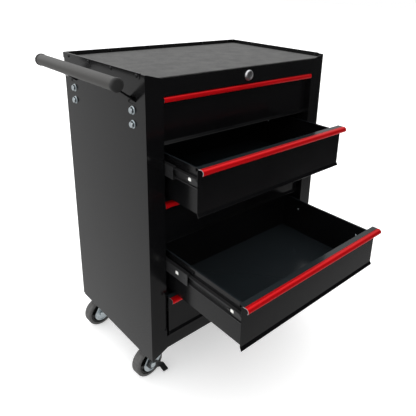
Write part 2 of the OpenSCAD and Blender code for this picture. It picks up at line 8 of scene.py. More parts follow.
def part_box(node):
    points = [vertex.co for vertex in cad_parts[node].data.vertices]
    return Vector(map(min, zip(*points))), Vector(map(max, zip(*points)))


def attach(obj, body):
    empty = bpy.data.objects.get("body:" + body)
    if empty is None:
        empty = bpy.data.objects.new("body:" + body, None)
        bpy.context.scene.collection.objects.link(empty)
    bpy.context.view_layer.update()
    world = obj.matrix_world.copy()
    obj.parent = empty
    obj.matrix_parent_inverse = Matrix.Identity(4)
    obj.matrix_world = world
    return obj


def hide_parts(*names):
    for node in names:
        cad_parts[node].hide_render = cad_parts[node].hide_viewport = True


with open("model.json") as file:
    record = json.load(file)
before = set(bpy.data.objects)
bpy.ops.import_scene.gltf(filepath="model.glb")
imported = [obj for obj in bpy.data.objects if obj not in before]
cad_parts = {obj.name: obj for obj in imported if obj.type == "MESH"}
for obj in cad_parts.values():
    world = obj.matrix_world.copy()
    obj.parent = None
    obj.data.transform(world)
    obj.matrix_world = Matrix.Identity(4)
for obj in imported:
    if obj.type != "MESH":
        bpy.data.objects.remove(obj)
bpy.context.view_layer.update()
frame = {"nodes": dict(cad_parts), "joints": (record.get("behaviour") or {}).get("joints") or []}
mm = 0.001

# ---- cabinet shell --------------------------------------------------------------------
# Side panels, top, back, base pan, fascia and skirt: 1 mm cold-rolled sheet, folded and
# spot-welded, then powder-coated gloss black as one. Their folds have a small outer radius.


def colour(hex_code):
    """An sRGB hex value as linear RGBA."""
    parts = [int(hex_code[i:i + 2], 16) / 255 for i in (1, 3, 5)]
    return [p / 12.92 if p <= 0.04045 else ((p + 0.055) / 1.055) ** 2.4 for p in parts] + [1]


def add_node(material, kind, values={}, feeds={}, stops=(), **settings):
    """One shader node with its settings, its input values, the sockets that feed it, and the
    (position, colour) stops of its ramp if it has one."""
    node = material.node_tree.nodes.new(kind)
    for name, value in settings.items():
        setattr(node, name, value)
    for i, (position, shade) in enumerate(stops):
        node.color_ramp.elements[i].position = position
        node.color_ramp.elements[i].color = colour(shade)
    for name, value in values.items():
        node.inputs[name].default_value = value
    for name, source in feeds.items():
        material.node_tree.links.new(source, node.inputs[name])
    return node


def start_material(name, **sockets):
    """A new material, its shader with the given even values, and its place in metres."""
    material = bpy.data.materials.new(name)
    material.use_nodes = True
    shader = material.node_tree.nodes["Principled BSDF"]
    for socket, value in sockets.items():
        shader.inputs[socket.replace("_", " ")].default_value = value
    place = add_node(material, "ShaderNodeTexCoord").outputs["Object"]
    return material, shader, place


def join(material, source, shader, socket):
    """Feeds one of the shader's sockets from another node."""
    material.node_tree.links.new(source, shader.inputs[socket])


# Polyester powder coat, stoved: deep black with a wet gloss, broken by orange peel about
# 2.5 mm across and by broad patches where hands and dust have dulled it a little.
powder_coat, coat, place = start_material("powder_coat_gloss_black", IOR=1.4)
peel = add_node(powder_coat, "ShaderNodeTexNoise", {"Scale": 1 / (2.5 * mm), "Detail": 1.5},
                {"Vector": place})
smudge = add_node(powder_coat, "ShaderNodeTexNoise", {"Scale": 1 / (90 * mm), "Detail": 4.0},
                  {"Vector": place})
black = add_node(powder_coat, "ShaderNodeValToRGB", {}, {"Fac": smudge.outputs["Fac"]},
                 stops=((0, "#080809"), (1, "#0d0d0e")))
dulled = add_node(powder_coat, "ShaderNodeMapRange",
                  {"From Min": 0.3, "From Max": 0.75, "To Min": 0.13, "To Max": 0.24},
                  {"Value": smudge.outputs["Fac"]})
ripple = add_node(powder_coat, "ShaderNodeBump", {"Strength": 0.10, "Distance": 0.02 * mm},
                  {"Height": peel.outputs["Fac"]})
join(powder_coat, black.outputs["Color"], coat, "Base Color")
join(powder_coat, dulled.outputs["Result"], coat, "Roughness")
join(powder_coat, ripple.outputs["Normal"], coat, "Normal")


def round_edges(piece, edge):
    """A small two-step rounding of every edge that turns by more than 35 degrees."""
    bevel = piece.modifiers.new("rounded edges", "BEVEL")
    bevel.width = edge
    bevel.segments = 2
    bevel.limit_method = "ANGLE"
    bevel.angle_limit = math.radians(35)
    return bevel


def fold_edges(piece, edge):
    """Rounds a sheet's cut and folded edges, after joining its facets into whole faces."""
    weld = piece.modifiers.new("join facets", "WELD")
    weld.merge_threshold = 0.01 * mm
    plain = piece.modifiers.new("whole faces", "DECIMATE")
    plain.decimate_type = "DISSOLVE"
    plain.angle_limit = math.radians(1)
    round_edges(piece, edge)
    normals = piece.modifiers.new("even shading", "WEIGHTED_NORMAL")
    normals.keep_sharp = True


def coat_node(name, material, edge):
    """A CAD node keeps its shape and gets its finish and rounded edges."""
    node = frame["nodes"][name]
    node.data.materials.clear()
    node.data.materials.append(material)
    for face in node.data.polygons:
        face.material_index = 0
    fold_edges(node, edge)


for name in ("side_left", "side_right", "top_tray", "lock_fascia", "front_skirt", "base_pan"):
    coat_node(name, powder_coat, 0.45 * mm)
coat_node("back_panel", powder_coat, 0.3 * mm)
coat_node("rear_uprights", powder_coat, 0.3 * mm)

# ---- top mat --------------------------------------------------------------------------
# A loose PVC mat, calendered with a pebble grain. It is cut to lie inside the rim, where only
# its own weight holds it.

# The grain's pebbles are about 1.6 mm across, so the mat scatters the light to a soft grey,
# with lint and wear in paler clouds.
pvc_mat, mat_skin, place = start_material("pvc_mat_pebble_grain", IOR=1.5, Roughness=0.72)
pebble = add_node(pvc_mat, "ShaderNodeTexVoronoi", {"Scale": 1 / (1.6 * mm)}, {"Vector": place})
lint = add_node(pvc_mat, "ShaderNodeTexNoise", {"Scale": 1 / (35 * mm), "Detail": 6.0},
                {"Vector": place})
fleck = add_node(pvc_mat, "ShaderNodeTexNoise", {"Scale": 1 / (3 * mm), "Detail": 3.0},
                 {"Vector": place})
mottle = add_node(pvc_mat, "ShaderNodeMath", {}, {0: lint.outputs["Fac"], 1: fleck.outputs["Fac"]},
                  operation="MULTIPLY")
grey = add_node(pvc_mat, "ShaderNodeValToRGB", {}, {"Fac": mottle.outputs["Value"]},
                stops=((0.12, "#434343"), (0.42, "#5e5e5d")))
grain = add_node(pvc_mat, "ShaderNodeBump", {"Strength": 0.5, "Distance": 0.25 * mm},
                 {"Height": pebble.outputs["Distance"]})
join(pvc_mat, grey.outputs["Color"], mat_skin, "Base Color")
join(pvc_mat, grain.outputs["Normal"], mat_skin, "Normal")
coat_node("top_mat", pvc_mat, 0.5 * mm)

# ---- rim screws -----------------------------------------------------------------------
# Self-tapping pan-head screws, M4 x 6, phosphated black, with a cross recess. Four go
# through the rim's fold on each side and six along the back.

# Manganese phosphate and oil: dark grey steel that still flashes on the edges.
black_steel, blackened, place = start_material("phosphated_steel", Metallic=0.85)
crystal = add_node(black_steel, "ShaderNodeTexNoise", {"Scale": 1 / (0.6 * mm), "Detail": 3.0},
                   {"Vector": place})
dark = add_node(black_steel, "ShaderNodeValToRGB", {}, {"Fac": crystal.outputs["Fac"]},
                stops=((0, "#1c1c1d"), (1, "#3a3a3b")))
oiled = add_node(black_steel, "ShaderNodeMapRange", {"To Min": 0.3, "To Max": 0.5},
                 {"Value": crystal.outputs["Fac"]})
join(black_steel, dark.outputs["Color"], blackened, "Base Color")
join(black_steel, oiled.outputs["Result"], blackened, "Roughness")


def aim(origin, direction):
    """A matrix at origin whose Z axis points in the given direction."""
    turn = Vector(direction).to_track_quat("Z", "Y").to_matrix().to_4x4()
    return Matrix.Translation(Vector(origin)) @ turn


def skin_rings(mesh, rings, closed=False):
    """Faces between rings of vertices; a ring of one vertex is a tip."""
    following = rings[1:] + (rings[:1] if closed else [])
    for low, high in zip(rings, following):
        count = max(len(low), len(high))
        for i in range(count):
            j = (i + 1) % count
            corners = [low[i % len(low)], low[j % len(low)], high[j % len(high)], high[i % len(high)]]
            corners = list(dict.fromkeys(corners))  # a tip gives its vertex twice
            if len(corners) > 2:
                mesh.faces.new(corners)


def turned(mesh, pose, outline, closed=False, steps=40):
    """A turned shape about the pose's Z axis, from an outline of (radius, height)."""
    rings = []
    for radius, height in outline:
        if radius < 1e-6:
            rings.append([mesh.verts.new(pose @ Vector((0, 0, height)))])
            continue
        ring = []
        for i in range(steps):
            a = 2 * math.pi * i / steps
            ring.append(mesh.verts.new(pose @ Vector((radius * math.cos(a), radius * math.sin(a), height))))
        rings.append(ring)
    skin_rings(mesh, rings, closed)


def make_piece(name, mesh, finishes, body, edge=0.0, smooth=32):
    """Turns the mesh into an object that rides on a body and takes a slot's finish."""
    bmesh.ops.recalc_face_normals(mesh, faces=mesh.faces)
    data = bpy.data.meshes.new(name)
    mesh.to_mesh(data)
    mesh.free()
    for finish in finishes:
        data.materials.append(finish)
    for face in data.polygons:
        face.use_smooth = True
    data.set_sharp_from_angle(angle=math.radians(smooth))
    piece = bpy.data.objects.new(name, data)
    bpy.context.scene.collection.objects.link(piece)
    if edge:
        round_edges(piece, edge).harden_normals = True
    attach(piece, body)
    return piece


def cross_head(mesh, pose, head, dome):
    """A domed screw head with a cross recess sunk into it."""
    half_slot = 0.55 * mm
    reach = head * 0.29
    deep = dome * 0.62
    spokes = 48
    steps = 12
    rings = [[mesh.verts.new(pose @ Vector((0, 0, dome - deep)))]]
    for step in range(1, steps + 1):
        r = head / 2 * step / steps
        ring = []
        for i in range(spokes):
            a = 2 * math.pi * i / spokes
            x, y = r * math.cos(a), r * math.sin(a)
            z = dome * math.sqrt(max(0.0, 1 - (2 * r / head) ** 2))
            if r < reach and min(abs(x), abs(y)) < half_slot:
                z -= deep * (1 - 0.6 * r / reach)
            ring.append(mesh.verts.new(pose @ Vector((x, y, z))))
        rings.append(ring)
    skin_rings(mesh, rings)


left_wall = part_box("side_left")[0]
screw_low, screw_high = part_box("rim_screws")
head = 8 * mm
dome = 2 * mm
shank_r = 2 * mm
shank = 5 * mm
point = 1.2 * mm
front_margin = 25.5 * mm
rear_margin = 27.5 * mm
end_margin = 25 * mm
side_face = -screw_low.x - dome
back_face = screw_high.y - dome
screw_z = (screw_low.z + screw_high.z) / 2
front_plane = left_wall.y
depth = -2 * front_plane
width = -2 * left_wall.x
screw_poses = []
for i in range(4):
    y = front_plane + front_margin + i * (depth - front_margin - rear_margin) / 3
    screw_poses.append(aim((-side_face, y, screw_z), (-1, 0, 0)))
    screw_poses.append(aim((side_face, y, screw_z), (1, 0, 0)))
for i in range(6):
    x = left_wall.x + end_margin + i * (width - 2 * end_margin) / 5
    screw_poses.append(aim((x, back_face, screw_z), (0, 1, 0)))
mesh = bmesh.new()
for pose in screw_poses:
    cross_head(mesh, pose, head, dome)
    turned(mesh, pose, [(head / 2, 0), (shank_r, 0), (shank_r, point - shank), (0, -shank)], steps=24)
rim_screws = make_piece("rim_screw_set", mesh, [black_steel], "chest")
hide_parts("rim_screws")

# ---- drawers --------------------------------------------------------------------------
# Five drawers of the same coated sheet: a welded box with a hemmed front, flared at its
# foot. The slides' inner members are riveted through both walls, which shows inside.

# The drawers' coat is the cabinet's, with a paler blue-grey painted where a face looks up:
# this is painted light from overhead, and it lightens the drawer floors.
drawer_coat = powder_coat.copy()
drawer_coat.name = "powder_coat_painted_lit_floor"
drawer_skin = drawer_coat.node_tree.nodes["Principled BSDF"]
facing = add_node(drawer_coat, "ShaderNodeNewGeometry").outputs["Normal"]
upward = add_node(drawer_coat, "ShaderNodeSeparateXYZ", {}, {"Vector": facing}).outputs["Z"]
# painted light: faces that look straight up get a paler blue-grey, as if lit from above
lit_from_above_mask = add_node(drawer_coat, "ShaderNodeMapRange", {"From Min": 0.9, "From Max": 1.0},
                   {"Value": upward})
bare_coat = drawer_skin.inputs["Base Color"].links[0].from_socket
# mixes the painted overhead light into the coat's own black
painted_top_light = add_node(drawer_coat, "ShaderNodeMix", {"B": colour("#22272a")},
                {"Factor": lit_from_above_mask.outputs["Result"], "A": bare_coat}, data_type="RGBA")
join(drawer_coat, painted_top_light.outputs["Result"], drawer_skin, "Base Color")
for k in range(1, 6):
    coat_node(f"drawer_{k}", drawer_coat, 0.4 * mm)

# Zinc-plated steel with a blue passivate: bright and cool, with the faint grain of the
# rolled sheet and duller clouds where the plating is thin.
zinc_plate, zinc, place = start_material("blue_zinc_plate", Metallic=1.0)
cloud = add_node(zinc_plate, "ShaderNodeTexNoise", {"Scale": 1 / (9 * mm), "Detail": 5.0},
                 {"Vector": place})
plated = add_node(zinc_plate, "ShaderNodeValToRGB", {}, {"Fac": cloud.outputs["Fac"]},
                  stops=((0.3, "#a9b4ba"), (0.7, "#d5dde0")))
sheen = add_node(zinc_plate, "ShaderNodeMapRange", {"To Min": 0.2, "To Max": 0.42},
                 {"Value": cloud.outputs["Fac"]})
rolled = add_node(zinc_plate, "ShaderNodeTexNoise", {"Scale": 1 / (0.8 * mm), "Detail": 2.0},
                  {"Vector": place})
tooth = add_node(zinc_plate, "ShaderNodeBump", {"Strength": 0.12, "Distance": 0.03 * mm},
                 {"Height": rolled.outputs["Fac"]})
join(zinc_plate, plated.outputs["Color"], zinc, "Base Color")
join(zinc_plate, sheen.outputs["Result"], zinc, "Roughness")
join(zinc_plate, tooth.outputs["Normal"], zinc, "Normal")

# Each rivet's head lies on the wall's inner face, at two places behind the front.
lip_out = 4 * mm
wall_x = 210.8 * mm
rivet_places = (43.5 * mm, 226 * mm)
rivet_head = [(0, -0.4 * mm), (2.9 * mm, -0.4 * mm), (2.9 * mm, 0.3 * mm), (2.3 * mm, 0.9 * mm),
              (1.2 * mm, 1.25 * mm), (0, 1.3 * mm)]
for k in range(1, 6):
    drawer_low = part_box(f"drawer_{k}")[0]
    slide_low, slide_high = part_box(f"slide_inner_{k}")
    rivet_z = (slide_low.z + slide_high.z) / 2
    mesh = bmesh.new()
    for side in (-1, 1):
        for behind in rivet_places:
            pose = aim((side * wall_x, drawer_low.y + lip_out + behind, rivet_z), (-side, 0, 0))
            turned(mesh, pose, rivet_head, steps=20)
    make_piece(f"wall_rivets_{k}", mesh, [zinc_plate], f"drawer_unit_{k}")

# ---- pulls ----------------------------------------------------------------------------
# One aluminium extrusion on each drawer front: a tongue under the front's ledge, and a round
# nose that the fingers hook under. It is anodised red and then sawn, so its ends are bare.

# Red anodise over satin-etched aluminium: a deep metallic red, with fine die lines along
# the length of about 0.4 mm pitch.
red_anodise, red, place = start_material("red_anodised_aluminium", Metallic=0.55, Roughness=0.32,
                                          IOR=1.35)
die = add_node(red_anodise, "ShaderNodeMapping", {"Scale": (0.02, 1, 1)}, {"Vector": place})
lines = add_node(red_anodise, "ShaderNodeTexNoise", {"Scale": 1 / (0.4 * mm), "Detail": 1.0},
                 {"Vector": die.outputs["Vector"]})
dye = add_node(red_anodise, "ShaderNodeTexNoise", {"Scale": 1 / (60 * mm), "Detail": 2.0},
               {"Vector": place})
tint = add_node(red_anodise, "ShaderNodeValToRGB", {}, {"Fac": dye.outputs["Fac"]},
                stops=((0, "#c4040c"), (1, "#dc0814")))
drawn = add_node(red_anodise, "ShaderNodeBump", {"Strength": 0.1, "Distance": 0.02 * mm},
                 {"Height": lines.outputs["Fac"]})
join(red_anodise, tint.outputs["Color"], red, "Base Color")
join(red_anodise, drawn.outputs["Normal"], red, "Normal")

# Saw-cut aluminium: pale grey metal with the blade's parallel scratches, 0.5 mm apart.
sawn_aluminium, sawn, place = start_material("sawn_aluminium", Metallic=1.0)
blade = add_node(sawn_aluminium, "ShaderNodeMapping", {"Scale": (1, 0.1, 1)}, {"Vector": place})
scratch = add_node(sawn_aluminium, "ShaderNodeTexNoise", {"Scale": 1 / (0.5 * mm), "Detail": 2.0},
                   {"Vector": blade.outputs["Vector"]})
bare = add_node(sawn_aluminium, "ShaderNodeValToRGB", {}, {"Fac": scratch.outputs["Fac"]},
                stops=((0, "#a8aaac"), (1, "#d6d7d8")))
cut = add_node(sawn_aluminium, "ShaderNodeMapRange", {"To Min": 0.3, "To Max": 0.55},
               {"Value": scratch.outputs["Fac"]})
join(sawn_aluminium, bare.outputs["Color"], sawn, "Base Color")
join(sawn_aluminium, cut.outputs["Result"], sawn, "Roughness")


def pulled_shape(mesh, pose, outline, length, end=0):
    """An outline in the pose's XY plane, pulled along its Z axis; end is its ends' finish."""
    low = [mesh.verts.new(pose @ Vector((x, y, 0))) for x, y in outline]
    high = [mesh.verts.new(pose @ Vector((x, y, length))) for x, y in outline]
    skin_rings(mesh, [low, high])
    for ring in (low, high):
        mesh.faces.new(ring).material_index = end


def arc(cx, cy, radius, start, stop, steps):
    """Points along an arc, its angles in degrees."""
    return [(cx + radius * math.cos(math.radians(start + (stop - start) * i / steps)),
             cy + radius * math.sin(math.radians(start + (stop - start) * i / steps)))
            for i in range(steps + 1)]


def along_x(x):
    """A pose at x whose X axis is the frame's +Y and Y axis the frame's +Z."""
    return Matrix(((0, 0, 1, x), (1, 0, 0, 0), (0, 1, 0, 0), (0, 0, 0, 1)))


pull_wall = 1.6 * mm
nose_r = 6.5 * mm
tongue = 4 * mm
tongue_t = 1.4 * mm
sheet = 1 * mm
corner_cut = 0.3 * mm
groove_half = 0.35 * mm
groove_deep = 0.3 * mm
for k in range(1, 6):
    low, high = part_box(f"pull_{k}")
    top = high.z
    back = high.y - tongue
    under = top - sheet
    centre = (low.y + nose_r, top - nose_r)
    outline = [(high.y, under - tongue_t), (high.y, under), (back, under), (back, top - corner_cut),
               (back - corner_cut, top)]
    # two shallow grip grooves along the flat top
    for groove in (back - 1.3 * mm, back - 2.7 * mm):
        outline += [(groove + groove_half, top), (groove, top - groove_deep), (groove - groove_half, top)]
    outline += arc(*centre, nose_r, 92, 222, 18)
    # a round bead finishes the finger edge
    bead_at = math.radians(224)
    bead_r = nose_r - pull_wall / 2
    outline += arc(centre[0] + bead_r * math.cos(bead_at), centre[1] + bead_r * math.sin(bead_at),
                   pull_wall / 2, 240, 390, 6)
    outline += arc(*centre, nose_r - pull_wall, 221, 90, 16)
    outline += [(back - 1.4 * mm, top - pull_wall), (back - 0.6 * mm, under - tongue_t)]
    mesh = bmesh.new()
    pulled_shape(mesh, along_x(low.x), outline, high.x - low.x, end=1)
    pull = make_piece(f"drawer_pull_{k}", mesh, [red_anodise, sawn_aluminium], f"drawer_unit_{k}",
                      smooth=28)
    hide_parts(f"pull_{k}")

# ---- slides ---------------------------------------------------------------------------
# Three-part ball slides, cold-rolled steel with a black electrocoat. The open ends show
# the release lever, its white nylon clip, the stop rivets and the balls.

# Cathodic electrocoat: thin satin black that follows the rolled steel's own faint lines.
electrocoat, ecoat, place = start_material("black_electrocoat_steel", IOR=1.5)
roll = add_node(electrocoat, "ShaderNodeMapping", {"Scale": (1, 0.05, 1)}, {"Vector": place})
streak = add_node(electrocoat, "ShaderNodeTexNoise", {"Scale": 1 / (1.2 * mm), "Detail": 3.0},
                  {"Vector": roll.outputs["Vector"]})
satin = add_node(electrocoat, "ShaderNodeValToRGB", {}, {"Fac": streak.outputs["Fac"]},
                 stops=((0, "#1b1b1c"), (1, "#2a2a2b")))
rub = add_node(electrocoat, "ShaderNodeMapRange", {"To Min": 0.25, "To Max": 0.42},
               {"Value": streak.outputs["Fac"]})
join(electrocoat, satin.outputs["Color"], ecoat, "Base Color")
join(electrocoat, rub.outputs["Result"], ecoat, "Roughness")

# Moulded nylon: milky white with a soft skin and faint flow marks 4 mm long.
white_nylon, nylon, place = start_material("white_nylon_moulded", IOR=1.53, Roughness=0.4)
flow = add_node(white_nylon, "ShaderNodeTexNoise", {"Scale": 1 / (4 * mm), "Detail": 3.0},
                {"Vector": place})
milk = add_node(white_nylon, "ShaderNodeValToRGB", {}, {"Fac": flow.outputs["Fac"]},
                stops=((0, "#d4d4d0"), (1, "#f0f0ec")))
join(white_nylon, milk.outputs["Color"], nylon, "Base Color")

# Bearing steel: ground balls, mirror-bright under a film of grease.
ball_steel, ball, place = start_material("greased_bearing_steel", Metallic=1.0)
grease = add_node(ball_steel, "ShaderNodeTexNoise", {"Scale": 1 / (2 * mm), "Detail": 2.0},
                  {"Vector": place})
film = add_node(ball_steel, "ShaderNodeMapRange", {"To Min": 0.08, "To Max": 0.3},
                {"Value": grease.outputs["Fac"]})
ground = add_node(ball_steel, "ShaderNodeValToRGB", {}, {"Fac": grease.outputs["Fac"]},
                  stops=((0, "#9b9d9f"), (1, "#c9cbcc")))
join(ball_steel, film.outputs["Result"], ball, "Roughness")
join(ball_steel, ground.outputs["Color"], ball, "Base Color")

coat_node("slide_outers", electrocoat, 0.3 * mm)
# Distances from the cabinet's middle plane: the lever in the inner member's channel, the
# balls, and the web of the middle member.
lever_x = 216.2 * mm
ball_x = 217.4 * mm
web_x = 222.3 * mm
lever_t = 1.8 * mm
buffer_t = 0.6 * mm
lever_rivet = [(0, -1.5 * mm), (2.6 * mm, -1.5 * mm), (2.6 * mm, 0.8 * mm), (1.6 * mm, 1.4 * mm),
               (0, 1.5 * mm)]
stop_rivet = [(0, -0.4 * mm), (3.6 * mm, -0.4 * mm), (3.6 * mm, 0.3 * mm), (2.9 * mm, 0.55 * mm),
              (0, 0.6 * mm)]
rivet_places = (11 * mm, 52 * mm, 150 * mm, 255 * mm)
ball_r = 1.3 * mm
ball_half = [(0, -ball_r)] + arc(0, 0, ball_r, -67, 67, 6) + [(0, ball_r)]
ball_row = 10.9 * mm
first_ball = 8 * mm
ball_pitch = 6.2 * mm
for k in range(1, 6):
    coat_node(f"slide_mid_{k}", electrocoat, 0.3 * mm)
    coat_node(f"slide_inner_{k}", electrocoat, 0.3 * mm)
    inner_low, inner_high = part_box(f"slide_inner_{k}")
    z = (inner_low.z + inner_high.z) / 2
    mesh = bmesh.new()
    levers = bmesh.new()
    for side in (-1, 1):
        # a lever cut from strip, with a finger tab in front and a pivot tongue behind
        x = side * lever_x
        y = inner_low.y - 1 * mm
        outline = [(y, z - 5.2 * mm), (y + 9 * mm, z - 6.6 * mm), (y + 31 * mm, z - 6.6 * mm),
                   (y + 31 * mm, z - 2 * mm), (y + 44 * mm, z - 1.2 * mm), (y + 44 * mm, z + 1.2 * mm),
                   (y + 31 * mm, z + 2 * mm), (y + 31 * mm, z + 6.6 * mm), (y + 13 * mm, z + 6.6 * mm),
                   (y + 6 * mm, z + 2.5 * mm), (y, z + 1.8 * mm)]
        pulled_shape(levers, along_x(x - lever_t / 2), outline, lever_t)
        clip = [(y + 25 * mm, z - 1 * mm), (y + 33 * mm, z - 1 * mm), (y + 33 * mm, z + 5 * mm),
                (y + 28 * mm, z + 5.8 * mm), (y + 25 * mm, z + 5 * mm)]
        pulled_shape(mesh, along_x(x + (side - 1) * lever_t / 2), clip, lever_t)
        turned(levers, aim((x, y + 38 * mm, z), (side, 0, 0)), lever_rivet, steps=20)
    make_piece(f"slide_lever_{k}", levers, [electrocoat], f"drawer_unit_{k}",
               edge=0.2 * mm)
    make_piece(f"slide_clip_{k}", mesh, [white_nylon], f"drawer_unit_{k}",
               edge=0.2 * mm)
    mesh = bmesh.new()
    balls = bmesh.new()
    rivets = bmesh.new()
    for side in (-1, 1):
        web = side * web_x
        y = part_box(f"slide_mid_{k}")[0].y
        # nylon buffer and rivets on the middle member's web
        clip = [(y + 30 * mm, z - 1.5 * mm), (y + 39 * mm, z - 1.5 * mm), (y + 39 * mm, z + 5 * mm),
                (y + 33 * mm, z + 6 * mm), (y + 30 * mm, z + 5 * mm)]
        pulled_shape(mesh, along_x(web + (side - 1) * buffer_t / 2), clip, buffer_t)
        for behind in rivet_places:
            turned(rivets, aim((web, y + behind, z), (side, 0, 0)), stop_rivet, steps=24)
        for row in (-ball_row, ball_row):
            for n in range(10):
                centre = (side * ball_x, y + first_ball + n * ball_pitch, z + row)
                turned(balls, aim(centre, (0, 0, 1)), ball_half, steps=12)
    make_piece(f"slide_buffer_{k}", mesh, [white_nylon], f"slide_unit_{k}",
               edge=0.15 * mm)
    make_piece(f"slide_rivets_{k}", rivets, [electrocoat], f"slide_unit_{k}")
    make_piece(f"slide_balls_{k}", balls, [ball_steel], f"slide_unit_{k}", smooth=80)

# ---- handle ---------------------------------------------------------------------------
# A 25 mm steel tube across the left side, with a moulded cap pressed into each end. It
# is welded to two flat arms, which come out of the side panel through slots.

# Satin powder coat in graphite: an even dark grey whose highlight spreads softly, with a
# fine leather tooth of 0.7 mm.
graphite_coat, graphite, place = start_material("satin_powder_coat_graphite", IOR=1.5)
leather = add_node(graphite_coat, "ShaderNodeTexNoise", {"Scale": 1 / (0.7 * mm), "Detail": 3.0},
                   {"Vector": place})
worn = add_node(graphite_coat, "ShaderNodeTexNoise", {"Scale": 1 / (45 * mm), "Detail": 3.0},
                {"Vector": place})
tone = add_node(graphite_coat, "ShaderNodeValToRGB", {}, {"Fac": worn.outputs["Fac"]},
                stops=((0, "#2a2927"), (1, "#353432")))
held = add_node(graphite_coat, "ShaderNodeMapRange", {"To Min": 0.36, "To Max": 0.5},
                {"Value": worn.outputs["Fac"]})
skin = add_node(graphite_coat, "ShaderNodeBump", {"Strength": 0.2, "Distance": 0.04 * mm},
                {"Height": leather.outputs["Fac"]})
join(graphite_coat, tone.outputs["Color"], graphite, "Base Color")
join(graphite_coat, held.outputs["Result"], graphite, "Roughness")
join(graphite_coat, skin.outputs["Normal"], graphite, "Normal")

# Moulded polypropylene: black with a spark-eroded texture, so it stays dull.
polypropylene, poly, place = start_material("moulded_black_polypropylene", IOR=1.49)
eroded = add_node(polypropylene, "ShaderNodeTexNoise", {"Scale": 1 / (0.5 * mm), "Detail": 2.0},
                  {"Vector": place})
soot = add_node(polypropylene, "ShaderNodeValToRGB", {}, {"Fac": eroded.outputs["Fac"]},
                stops=((0, "#171717"), (1, "#262626")))
matt = add_node(polypropylene, "ShaderNodeMapRange", {"To Min": 0.38, "To Max": 0.55},
                {"Value": eroded.outputs["Fac"]})
spark = add_node(polypropylene, "ShaderNodeBump", {"Strength": 0.15, "Distance": 0.03 * mm},
                 {"Height": eroded.outputs["Fac"]})
join(polypropylene, soot.outputs["Color"], poly, "Base Color")
join(polypropylene, matt.outputs["Result"], poly, "Roughness")
join(polypropylene, spark.outputs["Normal"], poly, "Normal")

tube_low, tube_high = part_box("handle_tube")
tube_r = (tube_high.x - tube_low.x) / 2
tube_x = (tube_low.x + tube_high.x) / 2
tube_z = (tube_low.z + tube_high.z) / 2
tube_l = tube_high.y - tube_low.y
bore = tube_r - 1.5 * mm
chamfer = 0.4 * mm
mesh = bmesh.new()
turned(mesh, aim((tube_x, tube_low.y, tube_z), (0, 1, 0)),
       [(bore, 0), (tube_r - chamfer, 0), (tube_r, chamfer), (tube_r, tube_l - chamfer),
        (tube_r - chamfer, tube_l), (bore, tube_l)], closed=True, steps=72)
tube = make_piece("handle_grip_tube", mesh, [graphite_coat], "chest")
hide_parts("handle_tube")

cap_low, cap_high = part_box("handle_caps")
cap_r = (cap_high.z - cap_low.z) / 2
cap_l = 8 * mm
plug_l = 12 * mm
plug_fit = bore - 0.3 * mm
# a plug with a tapered tip goes inside the tube, and a domed head sits on the tube's end
cap_outline = [(0, -plug_l), (plug_fit - 0.6 * mm, -plug_l), (plug_fit, 1.5 * mm - plug_l),
               (plug_fit, 0), (cap_r - 0.6 * mm, 0), (cap_r, 0.6 * mm), (cap_r, 4.4 * mm),
               (cap_r - 0.5 * mm, 5.4 * mm), (cap_r - 1.6 * mm, 6.4 * mm), (cap_r - 4 * mm, 7.3 * mm),
               (cap_r - 8 * mm, 7.8 * mm), (0, cap_l)]
mesh = bmesh.new()
for end, outward in ((cap_low.y, -1), (cap_high.y, 1)):
    turned(mesh, aim((tube_x, end - outward * cap_l, tube_z), (0, outward, 0)), cap_outline, steps=64)
caps = make_piece("handle_end_caps", mesh, [polypropylene], "chest")
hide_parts("handle_caps")

coat_node("handle_arms", powder_coat, 0.6 * mm)

# Each arm is held by two M8 flange bolts through the side panel, with nuts inside.


def hex_radius(across, angle):
    """Distance from the centre of a hexagon to its side at an angle in radians."""
    sector = math.pi / 3
    return across / 2 / math.cos((angle + sector / 2) % sector - sector / 2)


def hex_head(mesh, pose, across, height, bore=0.0):
    """A forged hexagon with its corners turned off, solid or with a bore for a nut."""
    spokes = 48
    angles = [2 * math.pi * i / spokes for i in range(spokes)]

    def ring(radii, heights):
        return [mesh.verts.new(pose @ Vector((r * math.cos(a), r * math.sin(a), h)))
                for a, r, h in zip(angles, radii, heights)]

    def even(value):
        return [value] * spokes

    # the chamfer runs further down at the corners, as a turned chamfer does
    sides = [hex_radius(across, a) for a in angles]
    chamfered = [height - 0.06 * across - 0.6 * (r - across / 2) for r in sides]
    rings = [ring(sides, even(0)), ring(sides, chamfered), ring(even(0.46 * across), even(height))]
    if bore:
        rings += [ring(even(1.12 * bore), even(height)), ring(even(bore), even(height - 0.1 * bore)),
                  ring(even(bore), even(0))]
        skin_rings(mesh, rings, closed=True)
    else:
        under = [mesh.verts.new(pose @ Vector((0, 0, 0)))]
        crown = [mesh.verts.new(pose @ Vector((0, 0, height - 0.02 * across)))]
        skin_rings(mesh, [under] + rings + [crown])


def threaded(mesh, pose, diameter, start, stop, pitch):
    """A rolled thread: a rod whose radius follows the pitch round and along it."""
    spokes = 24
    rows = max(4, int((stop - start) / pitch * 4))
    tooth_h = 0.54 * pitch
    rings = [[mesh.verts.new(pose @ Vector((0, 0, start)))]]
    for row in range(rows + 1):
        h = start + (stop - start) * row / rows
        ring = []
        for i in range(spokes):
            a = 2 * math.pi * i / spokes
            wave = abs(((h / pitch - i / spokes) % 1) * 2 - 1)
            run_out = max(0.0, 0.7 - (rows - row) / 3)
            r = diameter / 2 - tooth_h * (0.9 * wave + 0.6 * run_out)
            ring.append(mesh.verts.new(pose @ Vector((r * math.cos(a), r * math.sin(a), h))))
        rings.append(ring)
    rings.append([mesh.verts.new(pose @ Vector((0, 0, stop)))])
    skin_rings(mesh, rings)


